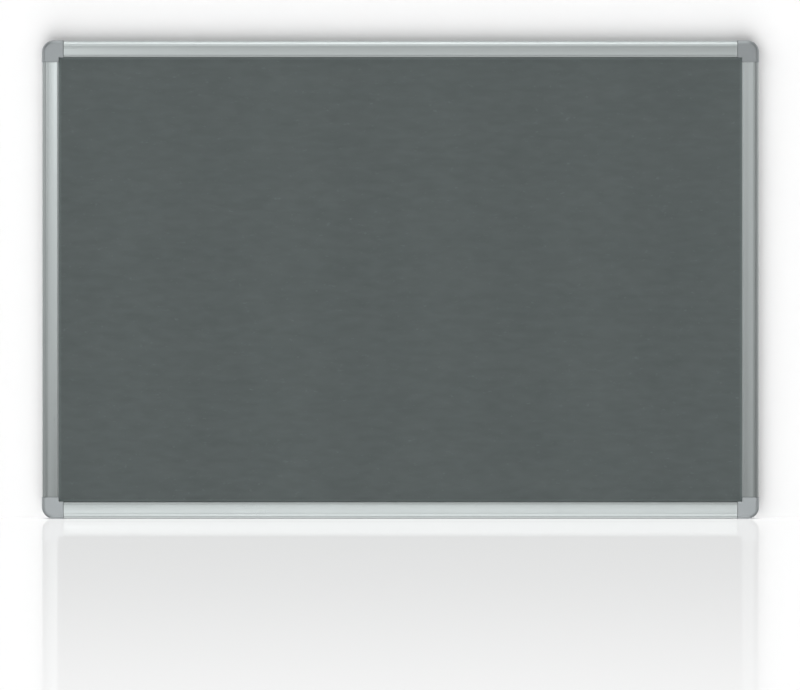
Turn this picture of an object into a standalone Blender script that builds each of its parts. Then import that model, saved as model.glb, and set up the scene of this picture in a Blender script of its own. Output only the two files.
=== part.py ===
"""Felt notice board: a felt-covered soft board in a slim aluminium frame.

The board hangs flat on a wall. X runs to the right, Z up, and the front faces -Y.
The origin is the centre of the board's outline, on the wall plane.

Pieces are modelled lying flat, with Z as the height above the wall plane, and are
then stood up. A corner piece is modelled at the bottom left corner, with X and Y
running inwards from the outer faces of its two rails.
"""

import math

import bmesh
import bpy
from mathutils import Matrix

# Board outline, over the four rails
BOARD_WIDTH = 0.900
BOARD_HEIGHT = 0.600

# Gap between neighbouring pieces, and how far a cutter runs past what it cuts
SEAT_GAP = 0.0003
CUT_OVERRUN = 0.002

# Panel, from the wall side to the front
BACKING_THICKNESS = 0.001
CORE_THICKNESS = 0.010
FELT_THICKNESS = 0.002
PANEL_NIP = 0.007

# Extruded rail section
RAIL_WIDTH = 0.0215
RAIL_WALL = 0.0014
RAIL_BOX_WIDTH = 0.012
REAR_LIP_REACH = 0.005
REAR_RECESS = 0.002
BULLNOSE_RADIUS = 0.007
FACE_DISH = 0.0003
NOSE_RADIUS = 0.0025
NOSE_LAND = 0.0002

# Corner cap
LEG_PAST_CORNER = 0.0055
CORNER_RADIUS = 0.0145
INNER_CORNER_RADIUS = 0.0008
CAP_FRONT_STEP = 0.001
CAP_SIDE_STEP = 0.0004
CAP_WALL = 0.0018
CAP_NOSE_WALL = 0.0014
CAP_EDGE_RADIUS = 0.0055
CAP_INNER_EDGE_RADIUS = 0.0035
CAP_END_EDGE_RADIUS = 0.0005
CAP_SEAM_HEIGHT = 0.008
PEG_RADIUS = 0.0018
PEG_LENGTH = 0.012
PEG_TIP = 0.0006

# Corner bracket
BRACKET_WALL = 0.0016
TONGUE_LENGTH = 0.032
TONGUE_TIP = 0.0012
PILOT_BLOCK_LENGTH = 0.008
WALL_HOLE_RADIUS = 0.0034
SEAT_RING_WIDTH = 0.0012
SEAT_RING_HEIGHT = 0.001

# Self-tapping corner screw
SCREW_RADIUS = 0.00175
SCREW_LENGTH = 0.010
SCREW_POINT = 0.002
SCREW_HEAD_RADIUS = 0.0032
SCREW_HEAD_HEIGHT = 0.0015
SCREW_INSET = 0.014
SCREW_PLAY = 0.0002
DRIVE_LENGTH = 0.0036
DRIVE_WIDTH = 0.0008
DRIVE_DEPTH = 0.0009

# Facets of round stretches
BULLNOSE_STEPS = 8
DISH_STEPS = 6
NOSE_STEPS = 5
CORNER_STEPS = 14
FILLET_STEPS = 3
CAP_EDGE_STEPS = 6
SMALL_EDGE_STEPS = 2
ROUND_SEGMENTS = 24
SCREW_SEGMENTS = 16

# Points closer than this are one point
TOUCH = 0.00001

# In degrees: edges blunter than the first are shaded smooth, and faces within the
# second of one plane are one flat face
SMOOTH_ANGLE = 30
FLAT_ANGLE = 1

# The bevel shape that gives a quarter of a circle
CIRCLE_PROFILE = 0.5

# Finishes: colour, roughness and metallic value
FELT_FINISH = ((0.098, 0.114, 0.112), 0.95, 0)
SOFTBOARD_FINISH = ((0.36, 0.25, 0.15), 0.9, 0)
LINER_FINISH = ((0.30, 0.24, 0.18), 0.85, 0)
ALUMINIUM_FINISH = ((0.60, 0.62, 0.63), 0.35, 1)
CAP_FINISH = ((0.34, 0.37, 0.38), 0.5, 0)
BRACKET_FINISH = ((0.30, 0.32, 0.33), 0.55, 0)
ZINC_FINISH = ((0.62, 0.62, 0.60), 0.3, 1)

# Heights above the wall plane that follow from the sizes above
REAR_WALL_TOP = REAR_RECESS + RAIL_WALL
BACKING_REAR = REAR_WALL_TOP + SEAT_GAP
CORE_REAR = BACKING_REAR + BACKING_THICKNESS + SEAT_GAP
FELT_REAR = CORE_REAR + CORE_THICKNESS + SEAT_GAP
NOSE_END = FELT_REAR + FELT_THICKNESS + SEAT_GAP
BOARD_DEPTH = NOSE_END + NOSE_LAND + NOSE_RADIUS
CAP_FRONT = BOARD_DEPTH + CAP_FRONT_STEP
CAP_UNDERSIDE = CAP_FRONT - CAP_WALL
UPRIGHT_TOP = CAP_FRONT - CAP_EDGE_RADIUS
TONGUE_BOTTOM = REAR_WALL_TOP + SEAT_GAP
TONGUE_TOP = BOARD_DEPTH - BULLNOSE_RADIUS
ROOT_TOP = (TONGUE_TOP + UPRIGHT_TOP) / 2
PEG_TIP_HEIGHT = CAP_UNDERSIDE - PEG_LENGTH
SCREW_SEAT = REAR_RECESS - SEAT_GAP

# Distances inwards from the outer face of a rail that follow from the sizes above
CAP_LEG = RAIL_WIDTH + LEG_PAST_CORNER
RAIL_END = CAP_LEG + SEAT_GAP
PANEL_INSET = RAIL_BOX_WIDTH + SEAT_GAP
CAP_INSIDE = CAP_WALL - CAP_SIDE_STEP
UPRIGHT_OUTSIDE = CAP_INSIDE + SEAT_GAP
UPRIGHT_INSIDE = UPRIGHT_OUTSIDE + BRACKET_WALL
TONGUE_OUTSIDE = max(RAIL_WALL, CAP_INSIDE) + SEAT_GAP
TONGUE_INSIDE = RAIL_BOX_WIDTH - RAIL_WALL - SEAT_GAP
TONGUE_END = RAIL_END + TONGUE_LENGTH
SCREW_LINE = RAIL_BOX_WIDTH / 2
SCREW_PLACE = RAIL_END + SCREW_INSET

# The well round the wall screw, between the bracket's rounded wall and its panel stop,
# as distances along one axis of points on the corner's diagonal
STOP_OUTER = PANEL_INSET + PANEL_NIP / 2 - SEAT_GAP / math.sqrt(2)
STOP_INNER = STOP_OUTER - BRACKET_WALL / math.sqrt(2)
WELL_OUTER = CORNER_RADIUS - (CORNER_RADIUS - UPRIGHT_INSIDE) / math.sqrt(2)
WELL_CENTRE = (WELL_OUTER + STOP_INNER) / 2
WELL_RADIUS = (STOP_INNER - WELL_OUTER) / math.sqrt(2)
ROOT_START = WELL_CENTRE + WELL_RADIUS
SOCKET_PLACE = (ROOT_START + CAP_LEG) / 2
BOSS_RADIUS = min(PEG_RADIUS + SEAT_GAP + BRACKET_WALL, SCREW_LINE - UPRIGHT_OUTSIDE)

# Turns a section drawn in X and Y into one across Y and Z, with its length along X
STAND_SECTION_UP = Matrix(((0, 0, 1, 0), (1, 0, 0, 0), (0, 1, 0, 0), (0, 0, 0, 1)))

# Mirrors a corner piece's leg along X into its leg along Y
SWAP_LEGS = Matrix(((0, 1, 0, 0), (1, 0, 0, 0), (0, 0, 1, 0), (0, 0, 0, 1)))

# Corners in turn from the bottom left, each a quarter turn on from the last
CORNERS = (
    ("bottom_left", -BOARD_WIDTH / 2, -BOARD_HEIGHT / 2),
    ("bottom_right", BOARD_WIDTH / 2, -BOARD_HEIGHT / 2),
    ("top_right", BOARD_WIDTH / 2, BOARD_HEIGHT / 2),
    ("top_left", -BOARD_WIDTH / 2, BOARD_HEIGHT / 2),
)


def arc(centre, radius, start, end, steps):
    """Points on a circular arc, both ends included, with its angles in degrees."""
    points = []
    for step in range(steps + 1):
        angle = math.radians(start + (end - start) * step / steps)
        points.append((centre[0] + radius * math.cos(angle), centre[1] + radius * math.sin(angle)))
    return points


def collection(name):
    """A new collection in the scene."""
    made = bpy.data.collections.new(name)
    bpy.context.scene.collection.children.link(made)
    return made


def add_object(name, mesh, group):
    """An object that shows the mesh."""
    made = bpy.data.objects.new(name, mesh)
    group.objects.link(made)
    return made


def add_piece(name, mesh, parent, group):
    """A finished piece under its parent, with its flat faces shaded flat."""
    piece = add_object(name, mesh, group)
    piece.parent = parent
    shading = piece.modifiers.new("flat_shading", "WEIGHTED_NORMAL")
    shading.keep_sharp = True
    return piece


def settle(made):
    """Give the object the mesh that its modifiers make."""
    bpy.context.view_layer.update()
    shaped = made.evaluated_get(bpy.context.evaluated_depsgraph_get())
    mesh = bpy.data.meshes.new_from_object(shaped)
    made.modifiers.clear()
    made.data = mesh


def weld(mesh):
    """Join the points that lie together and turn the faces outwards."""
    shape = bmesh.new()
    shape.from_mesh(mesh)
    bmesh.ops.remove_doubles(shape, verts=shape.verts, dist=TOUCH / 10)
    bmesh.ops.recalc_face_normals(shape, faces=shape.faces)
    shape.to_mesh(mesh)
    shape.free()


def slab(name, outline, bottom, top, group):
    """A flat outline raised from bottom to top."""
    curve = bpy.data.curves.new(name, "CURVE")
    curve.dimensions = "2D"
    curve.fill_mode = "BOTH"
    curve.extrude = (top - bottom) / 2
    spline = curve.splines.new("POLY")
    spline.points.add(len(outline) - 1)
    spline.use_cyclic_u = True
    for point, (x, y) in zip(spline.points, outline):
        point.co = (x, y, 0, 1)
    drawn = add_object(name, curve, group)
    bpy.context.view_layer.update()
    shaped = drawn.evaluated_get(bpy.context.evaluated_depsgraph_get())
    mesh = bpy.data.meshes.new_from_object(shaped)
    bpy.data.objects.remove(drawn)
    weld(mesh)
    mesh.transform(Matrix.Translation((0, 0, (bottom + top) / 2)))
    return add_object(name, mesh, group)


def block(name, low, high, group):
    """A box between two corners."""
    size = [b - a for a, b in zip(low, high)]
    middle = [(a + b) / 2 for a, b in zip(low, high)]
    shape = bmesh.new()
    placing = Matrix.Translation(middle) @ Matrix.Diagonal((*size, 1))
    bmesh.ops.create_cube(shape, size=1, matrix=placing)
    mesh = bpy.data.meshes.new(name)
    shape.to_mesh(mesh)
    shape.free()
    return add_object(name, mesh, group)


def rod(name, place, radius, bottom, top, group, segments=ROUND_SEGMENTS):
    """A round bar that stands on its end."""
    shape = bmesh.new()
    placing = Matrix.Translation((*place, (bottom + top) / 2))
    bmesh.ops.create_cone(
        shape, cap_ends=True, segments=segments, radius1=radius, radius2=radius,
        depth=top - bottom, matrix=placing,
    )
    mesh = bpy.data.meshes.new(name)
    shape.to_mesh(mesh)
    shape.free()
    return add_object(name, mesh, group)


def combine(target, tools, operation):
    """Join the tools to the target or cut them from it, then clear the tools away."""
    for tool in tools:
        tool.hide_render = True
        tool.display_type = "WIRE"
        step = target.modifiers.new(tool.name, "BOOLEAN")
        step.operation = operation
        step.solver = "EXACT"
        step.object = tool
    settle(target)
    for tool in tools:
        bpy.data.objects.remove(tool)


def with_twin(tool, group):
    """The tool for the leg along X, and its mirror image for the leg along Y."""
    mesh = tool.data.copy()
    mesh.transform(SWAP_LEGS)
    mesh.flip_normals()
    return [tool, add_object(f"{tool.name}_twin", mesh, group)]


def smooth(mesh):
    """Shade the round stretches smooth and keep the real edges sharp."""
    mesh.shade_smooth()
    mesh.set_sharp_from_angle(angle=math.radians(SMOOTH_ANGLE))


def finish(name, colour, roughness, metallic):
    """A plain material with the piece's colour."""
    made = bpy.data.materials.new(name)
    made.use_nodes = True
    shader = made.node_tree.nodes["Principled BSDF"]
    shader.inputs["Base Color"].default_value = (*colour, 1)
    shader.inputs["Roughness"].default_value = roughness
    shader.inputs["Metallic"].default_value = metallic
    return made


def round_edges(mesh, chosen, radius, steps):
    """Round the edges that chosen picks by their two ends."""
    shape = bmesh.new()
    shape.from_mesh(mesh)
    edges = [edge for edge in shape.edges if chosen(edge.verts[0].co, edge.verts[1].co)]
    bmesh.ops.bevel(
        shape, geom=edges, offset=radius, segments=steps, profile=CIRCLE_PROFILE,
        affect="EDGES", clamp_overlap=True,
    )
    shape.to_mesh(mesh)
    shape.free()


def join_flat_faces(mesh):
    """Make each flat face of a slab one face, so that its edges round cleanly."""
    shape = bmesh.new()
    shape.from_mesh(mesh)
    bmesh.ops.dissolve_limit(
        shape, angle_limit=math.radians(FLAT_ANGLE), verts=[], edges=shape.edges,
        use_dissolve_boundaries=False,
    )
    shape.to_mesh(mesh)
    shape.free()


# Panel

def panel_outline():
    """The panel's rectangle with its corners nipped off, which clears the wall screws."""
    right = BOARD_WIDTH / 2 - PANEL_INSET
    top = BOARD_HEIGHT / 2 - PANEL_INSET
    return [
        (right, top - PANEL_NIP), (right - PANEL_NIP, top),
        (PANEL_NIP - right, top), (-right, top - PANEL_NIP),
        (-right, PANEL_NIP - top), (PANEL_NIP - right, -top),
        (right - PANEL_NIP, -top), (right, PANEL_NIP - top),
    ]


def panel_layer(name, rear, thickness, material, group):
    """One sheet of the panel."""
    layer = slab(name, panel_outline(), rear, rear + thickness, group)
    layer.rotation_euler = (math.radians(90), 0, 0)
    layer.data.materials.append(material)
    return layer


# Rails

def dished_face(start, end):
    """The shallow hollow of the rail's front face."""
    points = []
    for step in range(DISH_STEPS + 1):
        share = step / DISH_STEPS
        sag = 4 * FACE_DISH * share * (1 - share)
        points.append((start + (end - start) * share, BOARD_DEPTH - sag))
    return points


def rail_outline():
    """The rail's section: X inwards from its outer face, Y up from the wall."""
    bullnose = (BULLNOSE_RADIUS, BOARD_DEPTH - BULLNOSE_RADIUS)
    nose_start = RAIL_WIDTH - NOSE_RADIUS
    nose = (nose_start, BOARD_DEPTH - NOSE_RADIUS)
    rear_lip = RAIL_BOX_WIDTH + REAR_LIP_REACH
    points = [(0, 0)]
    points += arc(bullnose, BULLNOSE_RADIUS, 180, 90, BULLNOSE_STEPS)
    points += dished_face(BULLNOSE_RADIUS, nose_start)[1:]
    points += arc(nose, NOSE_RADIUS, 90, 0, NOSE_STEPS)[1:]
    points += [(RAIL_WIDTH, NOSE_END), (RAIL_WIDTH - RAIL_WALL, NOSE_END)]
    points += arc(nose, NOSE_RADIUS - RAIL_WALL, 0, 90, NOSE_STEPS)
    points += [(RAIL_BOX_WIDTH, BOARD_DEPTH - RAIL_WALL), (RAIL_BOX_WIDTH, REAR_WALL_TOP)]
    points += [(rear_lip, REAR_WALL_TOP), (rear_lip, REAR_RECESS)]
    points += [(RAIL_WALL, REAR_RECESS), (RAIL_WALL, 0)]
    return points


def chamber_outline():
    """The hollow of the rail that takes the bracket's tongue."""
    bullnose = (BULLNOSE_RADIUS, BOARD_DEPTH - BULLNOSE_RADIUS)
    web = RAIL_BOX_WIDTH - RAIL_WALL
    points = [(RAIL_WALL, REAR_WALL_TOP)]
    points += arc(bullnose, BULLNOSE_RADIUS - RAIL_WALL, 180, 90, BULLNOSE_STEPS)
    points += [(web, BOARD_DEPTH - RAIL_WALL), (web, REAR_WALL_TOP)]
    return points


def rail_mesh(name, board_length, material, group, cutters):
    """A rail, drawn along X, with a hole near each end for a corner screw."""
    half = board_length / 2 - RAIL_END
    past_end = half + CUT_OVERRUN
    rail = slab(name, rail_outline(), -half, half, group)
    rail.data.transform(STAND_SECTION_UP)
    chamber = slab(f"{name}_chamber", chamber_outline(), -past_end, past_end, cutters)
    chamber.data.transform(STAND_SECTION_UP)
    holes = [
        rod(f"{name}_hole", (side * (half - SCREW_INSET), SCREW_LINE), SCREW_RADIUS + SEAT_GAP,
            REAR_RECESS - CUT_OVERRUN, REAR_WALL_TOP + CUT_OVERRUN, cutters)
        for side in (-1, 1)
    ]
    combine(rail, [chamber, *holes], "DIFFERENCE")
    mesh = rail.data
    bpy.data.objects.remove(rail)
    smooth(mesh)
    mesh.materials.append(material)
    return mesh


def add_rails(material, group, cutters, board):
    """The four rails; opposite rails are the same extrusion turned half round."""
    long_rail = rail_mesh("rail_long", BOARD_WIDTH, material, group, cutters)
    short_rail = rail_mesh("rail_short", BOARD_HEIGHT, material, group, cutters)
    for name, mesh, x, z, turn in (
        ("frame_bottom", long_rail, 0, -BOARD_HEIGHT / 2, 0),
        ("frame_right", short_rail, BOARD_WIDTH / 2, 0, -90),
        ("frame_top", long_rail, 0, BOARD_HEIGHT / 2, 180),
        ("frame_left", short_rail, -BOARD_WIDTH / 2, 0, 90),
    ):
        rail = add_piece(name, mesh, board, group)
        rail.location = (x, 0, z)
        rail.rotation_euler = (math.radians(90), math.radians(turn), 0)


# Corner pieces

def corner_outline(offset, leg_end, inner_face):
    """The L outline of a corner piece, with its outer sides offset inwards."""
    centre = (CORNER_RADIUS, CORNER_RADIUS)
    fillet = (inner_face + INNER_CORNER_RADIUS, inner_face + INNER_CORNER_RADIUS)
    points = [(offset, leg_end)]
    points += arc(centre, CORNER_RADIUS - offset, 180, 270, CORNER_STEPS)
    points += [(leg_end, offset), (leg_end, inner_face)]
    points += arc(fillet, INNER_CORNER_RADIUS, 270, 180, FILLET_STEPS)
    points += [(inner_face, leg_end)]
    return points


def level_edges(height):
    """Picks the edges that lie at one height."""
    return lambda a, b: abs(a.z - height) < TOUCH and abs(b.z - height) < TOUCH


def outer_edges(height, leg_end):
    """Picks the front edges on the outer sides of a corner piece."""
    level = level_edges(height)

    def picked(a, b):
        middle = (a + b) / 2
        return level(a, b) and min(middle.xy) < RAIL_BOX_WIDTH and max(middle.xy) < leg_end - TOUCH

    return picked


def felt_edges(height, leg_end, inner_face):
    """Picks the front edges of a corner piece that run along the felt."""
    level = level_edges(height)

    def picked(a, b):
        middle = (a + b) / 2
        return level(a, b) and min(middle.xy) > inner_face - TOUCH and max(middle.xy) < leg_end - TOUCH

    return picked


def leg_end_edges(bottom, leg_end):
    """Picks the edges round the flat ends of the legs, all but the lowest."""

    def picked(a, b):
        at_end = any(min(a[axis], b[axis]) > leg_end - TOUCH for axis in (0, 1))
        return at_end and max(a.z, b.z) > bottom + TOUCH

    return picked


def cap_hollow(cutters):
    """The space inside the cap, rounded as its outside is."""
    inner_face = RAIL_WIDTH - CAP_NOSE_WALL
    past_leg = CAP_LEG + CUT_OVERRUN
    outline = corner_outline(CAP_INSIDE, past_leg, inner_face)
    hollow = slab("cap_hollow", outline, CAP_SEAM_HEIGHT - CUT_OVERRUN, CAP_UNDERSIDE, cutters)
    join_flat_faces(hollow.data)
    for edges, radius in (
        (outer_edges(CAP_UNDERSIDE, past_leg), CAP_EDGE_RADIUS - CAP_WALL),
        (felt_edges(CAP_UNDERSIDE, past_leg, inner_face), CAP_INNER_EDGE_RADIUS - CAP_NOSE_WALL),
    ):
        round_edges(hollow.data, edges, radius, CAP_EDGE_STEPS)
    return hollow


def cap_shell(group, cutters):
    """The cap's rounded L, hollowed from behind."""
    outline = corner_outline(-CAP_SIDE_STEP, CAP_LEG, RAIL_WIDTH)
    cap = slab("corner_cap", outline, CAP_SEAM_HEIGHT, CAP_FRONT, group)
    join_flat_faces(cap.data)
    for edges, radius, steps in (
        (outer_edges(CAP_FRONT, CAP_LEG), CAP_EDGE_RADIUS, CAP_EDGE_STEPS),
        (felt_edges(CAP_FRONT, CAP_LEG, RAIL_WIDTH), CAP_INNER_EDGE_RADIUS, CAP_EDGE_STEPS),
        (leg_end_edges(CAP_SEAM_HEIGHT, CAP_LEG), CAP_END_EDGE_RADIUS, SMALL_EDGE_STEPS),
    ):
        round_edges(cap.data, edges, radius, steps)
    over_felt = corner_outline(SCREW_LINE, CAP_LEG + CUT_OVERRUN, RAIL_WIDTH + CUT_OVERRUN)
    felt_space = slab("felt_space", over_felt, CAP_SEAM_HEIGHT - CUT_OVERRUN, NOSE_END, cutters)
    combine(cap, [cap_hollow(cutters), felt_space], "DIFFERENCE")
    return cap


def cap_mesh(material, group, cutters):
    """A corner cap: its shell and the two pegs that push into the bracket."""
    cap = cap_shell(group, cutters)
    peg_root = (CAP_UNDERSIDE + CAP_FRONT) / 2
    peg = rod("peg", (SOCKET_PLACE, SCREW_LINE), PEG_RADIUS, PEG_TIP_HEIGHT, peg_root, cutters,
              SCREW_SEGMENTS)
    round_edges(peg.data, level_edges(PEG_TIP_HEIGHT), PEG_TIP, 1)
    combine(cap, with_twin(peg, cutters), "UNION")
    mesh = cap.data
    bpy.data.objects.remove(cap)
    smooth(mesh)
    mesh.materials.append(material)
    return mesh


def bracket_walls(group, cutters):
    """The bracket's wall plate and the stepped wall that the cap's skirt closes on."""
    past_leg = CAP_LEG + CUT_OVERRUN
    outline = corner_outline(-CAP_SIDE_STEP, past_leg, RAIL_WIDTH)
    bracket = slab("corner_bracket", outline, 0, CAP_SEAM_HEIGHT - SEAT_GAP, group)
    inner = corner_outline(UPRIGHT_OUTSIDE, past_leg, RAIL_BOX_WIDTH)
    combine(bracket, [slab("upright", inner, REAR_RECESS, UPRIGHT_TOP, cutters)], "UNION")
    inside = corner_outline(UPRIGHT_INSIDE, past_leg + CUT_OVERRUN, RAIL_WIDTH + CUT_OVERRUN)
    pocket = slab("pocket", inside, REAR_WALL_TOP, UPRIGHT_TOP + CUT_OVERRUN, cutters)
    combine(bracket, [pocket], "DIFFERENCE")
    return bracket


def panel_stop(cutters):
    """The slanted rib that the panel's nipped corner meets."""
    end = RAIL_BOX_WIDTH - BRACKET_WALL
    outline = [
        (2 * STOP_OUTER - end, end), (end, 2 * STOP_OUTER - end),
        (end, 2 * STOP_INNER - end), (2 * STOP_INNER - end, end),
    ]
    return slab("panel_stop", outline, REAR_RECESS, TONGUE_TOP, cutters)


def bracket_inside(cutters):
    """What stands on the wall plate: tongue roots, peg bosses, panel stop and screw seat."""
    root = block(
        "root", (ROOT_START, (UPRIGHT_OUTSIDE + UPRIGHT_INSIDE) / 2, REAR_RECESS),
        (CAP_LEG + CUT_OVERRUN / 2, RAIL_BOX_WIDTH, ROOT_TOP), cutters,
    )
    boss = rod(
        "boss", (SOCKET_PLACE, SCREW_LINE), BOSS_RADIUS,
        REAR_WALL_TOP, UPRIGHT_TOP - SEAT_GAP, cutters,
    )
    ring = rod(
        "screw_seat", (WELL_CENTRE, WELL_CENTRE), WALL_HOLE_RADIUS + SEAT_RING_WIDTH,
        REAR_RECESS, REAR_WALL_TOP + SEAT_RING_HEIGHT, cutters,
    )
    return [*with_twin(root, cutters), *with_twin(boss, cutters), ring, panel_stop(cutters)]


def leg_trims(cutters):
    """What cuts the ends of the bracket's legs off square."""
    trim = block(
        "leg_trim", (CAP_LEG, -CUT_OVERRUN, -CUT_OVERRUN),
        (CAP_LEG + 2 * CUT_OVERRUN, RAIL_WIDTH + CUT_OVERRUN, CAP_FRONT), cutters,
    )
    return with_twin(trim, cutters)


def tongues(cutters):
    """The two bars that plug into the rails, with their tips eased."""
    tongue = block(
        "tongue", ((ROOT_START + SOCKET_PLACE) / 2, TONGUE_OUTSIDE, TONGUE_BOTTOM),
        (TONGUE_END, TONGUE_INSIDE, TONGUE_TOP), cutters,
    )
    round_edges(tongue.data, lambda a, b: min(a.x, b.x) > TONGUE_END - TOUCH, TONGUE_TIP, 1)
    return with_twin(tongue, cutters)


def tongue_pocket(name, start, end, cutters):
    """A hollow in the front of each tongue, which leaves even walls."""
    pocket = block(
        name, (start, TONGUE_OUTSIDE + BRACKET_WALL, TONGUE_BOTTOM + BRACKET_WALL),
        (end, TONGUE_INSIDE - BRACKET_WALL, TONGUE_TOP + CUT_OVERRUN), cutters,
    )
    return with_twin(pocket, cutters)


def bracket_holes(cutters):
    """The wall screw hole, peg sockets, corner screw bores and tongue pockets."""
    wall_hole = rod(
        "wall_hole", (WELL_CENTRE, WELL_CENTRE), WALL_HOLE_RADIUS,
        -CUT_OVERRUN, REAR_WALL_TOP + SEAT_RING_HEIGHT + CUT_OVERRUN, cutters,
    )
    socket = rod(
        "socket", (SOCKET_PLACE, SCREW_LINE), PEG_RADIUS + SEAT_GAP,
        PEG_TIP_HEIGHT - SEAT_GAP, UPRIGHT_TOP + CUT_OVERRUN, cutters, SCREW_SEGMENTS,
    )
    bore = rod(
        "bore", (SCREW_PLACE, SCREW_LINE), SCREW_RADIUS + SCREW_PLAY,
        TONGUE_BOTTOM - CUT_OVERRUN, SCREW_SEAT + SCREW_LENGTH + SEAT_GAP, cutters, SCREW_SEGMENTS,
    )
    block_start = SCREW_PLACE - PILOT_BLOCK_LENGTH / 2
    block_end = SCREW_PLACE + PILOT_BLOCK_LENGTH / 2
    near = tongue_pocket("near_pocket", RAIL_END + BRACKET_WALL, block_start, cutters)
    far = tongue_pocket("far_pocket", block_end, TONGUE_END - BRACKET_WALL - TONGUE_TIP, cutters)
    return [wall_hole, *with_twin(socket, cutters), *with_twin(bore, cutters), *near, *far]


def bracket_mesh(material, group, cutters):
    """A corner bracket, the same moulding at all four corners."""
    bracket = bracket_walls(group, cutters)
    combine(bracket, bracket_inside(cutters), "UNION")
    combine(bracket, leg_trims(cutters), "DIFFERENCE")
    combine(bracket, tongues(cutters), "UNION")
    combine(bracket, bracket_holes(cutters), "DIFFERENCE")
    mesh = bracket.data
    bpy.data.objects.remove(bracket)
    smooth(mesh)
    mesh.materials.append(material)
    return mesh


def screw_profile():
    """Half the corner screw's outline, from its point down to its pan head."""
    head_bottom = SCREW_SEAT - SCREW_HEAD_HEIGHT
    tip = SCREW_SEAT + SCREW_LENGTH
    head_round = SCREW_HEAD_HEIGHT / 2
    points = [(0, tip), (SCREW_RADIUS, tip - SCREW_POINT), (SCREW_RADIUS, SCREW_SEAT)]
    points += [(SCREW_HEAD_RADIUS, SCREW_SEAT)]
    centre = (SCREW_HEAD_RADIUS - head_round, head_bottom + head_round)
    points += arc(centre, head_round, 0, -90, FILLET_STEPS)
    points += [(0, head_bottom)]
    return points


def turned(name, profile, group):
    """A solid turned round the Z axis."""
    mesh = bpy.data.meshes.new(name)
    points = [(x, 0, z) for x, z in profile]
    mesh.from_pydata(points, [(i, i + 1) for i in range(len(points) - 1)], [])
    made = add_object(name, mesh, group)
    turning = made.modifiers.new("turning", "SCREW")
    turning.axis = "Z"
    turning.angle = math.tau
    turning.screw_offset = 0
    turning.steps = SCREW_SEGMENTS
    turning.render_steps = SCREW_SEGMENTS
    turning.use_merge_vertices = True
    turning.merge_threshold = TOUCH / 10
    settle(made)
    return made


def screw_mesh(material, group, cutters):
    """A pan head screw with a cross recess; its axis is the Z axis."""
    screw = turned("corner_screw", screw_profile(), group)
    head_bottom = SCREW_SEAT - SCREW_HEAD_HEIGHT
    long = DRIVE_LENGTH / 2
    wide = DRIVE_WIDTH / 2
    slot = block("drive", (-long, -wide, head_bottom - CUT_OVERRUN), (long, wide, head_bottom + DRIVE_DEPTH),
                 cutters)
    combine(screw, with_twin(slot, cutters), "DIFFERENCE")
    mesh = screw.data
    bpy.data.objects.remove(screw)
    smooth(mesh)
    mesh.materials.append(material)
    return mesh


def add_corners(cap, bracket, screw, group, board):
    """The cap, bracket and two screws of each corner, on an empty at the corner."""
    for turn, (corner, x, z) in enumerate(CORNERS):
        seat = bpy.data.objects.new(f"corner_{corner}", None)
        group.objects.link(seat)
        seat.location = (x, 0, z)
        seat.rotation_euler = (math.radians(90), math.radians(-90 * turn), 0)
        seat.parent = board
        add_piece(f"corner_cap_{corner}", cap, seat, group)
        add_piece(f"corner_bracket_{corner}", bracket, seat, group)
        for count, place in enumerate(((SCREW_PLACE, SCREW_LINE, 0), (SCREW_LINE, SCREW_PLACE, 0)), 1):
            fixing = add_piece(f"corner_screw_{corner}_{count}", screw, seat, group)
            fixing.location = place


def add_panel(group, board):
    """The felt, the softboard core behind it and the sheet that backs them."""
    felt = finish("felt", *FELT_FINISH)
    softboard = finish("softboard", *SOFTBOARD_FINISH)
    liner = finish("liner_board", *LINER_FINISH)
    for name, rear, thickness, material in (
        ("backing_sheet", BACKING_REAR, BACKING_THICKNESS, liner),
        ("softboard_core", CORE_REAR, CORE_THICKNESS, softboard),
        ("felt_face", FELT_REAR, FELT_THICKNESS, felt),
    ):
        panel_layer(name, rear, thickness, material, group).parent = board


def main():
    """Build the notice board."""
    for old in list(bpy.data.objects):
        bpy.data.objects.remove(old)
    group = collection("felt_notice_board")
    cutters = collection("cutters")
    board = bpy.data.objects.new("board", None)
    group.objects.link(board)
    aluminium = finish("anodised_aluminium", *ALUMINIUM_FINISH)
    cap_plastic = finish("cap_plastic", *CAP_FINISH)
    bracket_plastic = finish("bracket_plastic", *BRACKET_FINISH)
    zinc = finish("zinc_plated_steel", *ZINC_FINISH)
    add_panel(group, board)
    add_rails(aluminium, group, cutters, board)
    cap = cap_mesh(cap_plastic, group, cutters)
    bracket = bracket_mesh(bracket_plastic, group, cutters)
    screw = screw_mesh(zinc, group, cutters)
    add_corners(cap, bracket, screw, group, board)


main()
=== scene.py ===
"""Felt notice board, dressed for a product picture.

A pin-up board covered in grey-green felt, in a slim frame of anodised aluminium rails with
a pull-off plastic cap at each corner. Laid out as a Blender add-on and run as a script.
X runs to the right, Z up, and the front faces -Y. All lengths are in metres.
"""
import math

import bmesh
import bpy
from bpy.props import FloatProperty, FloatVectorProperty, PointerProperty
from mathutils import Matrix, Vector, noise


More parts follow.
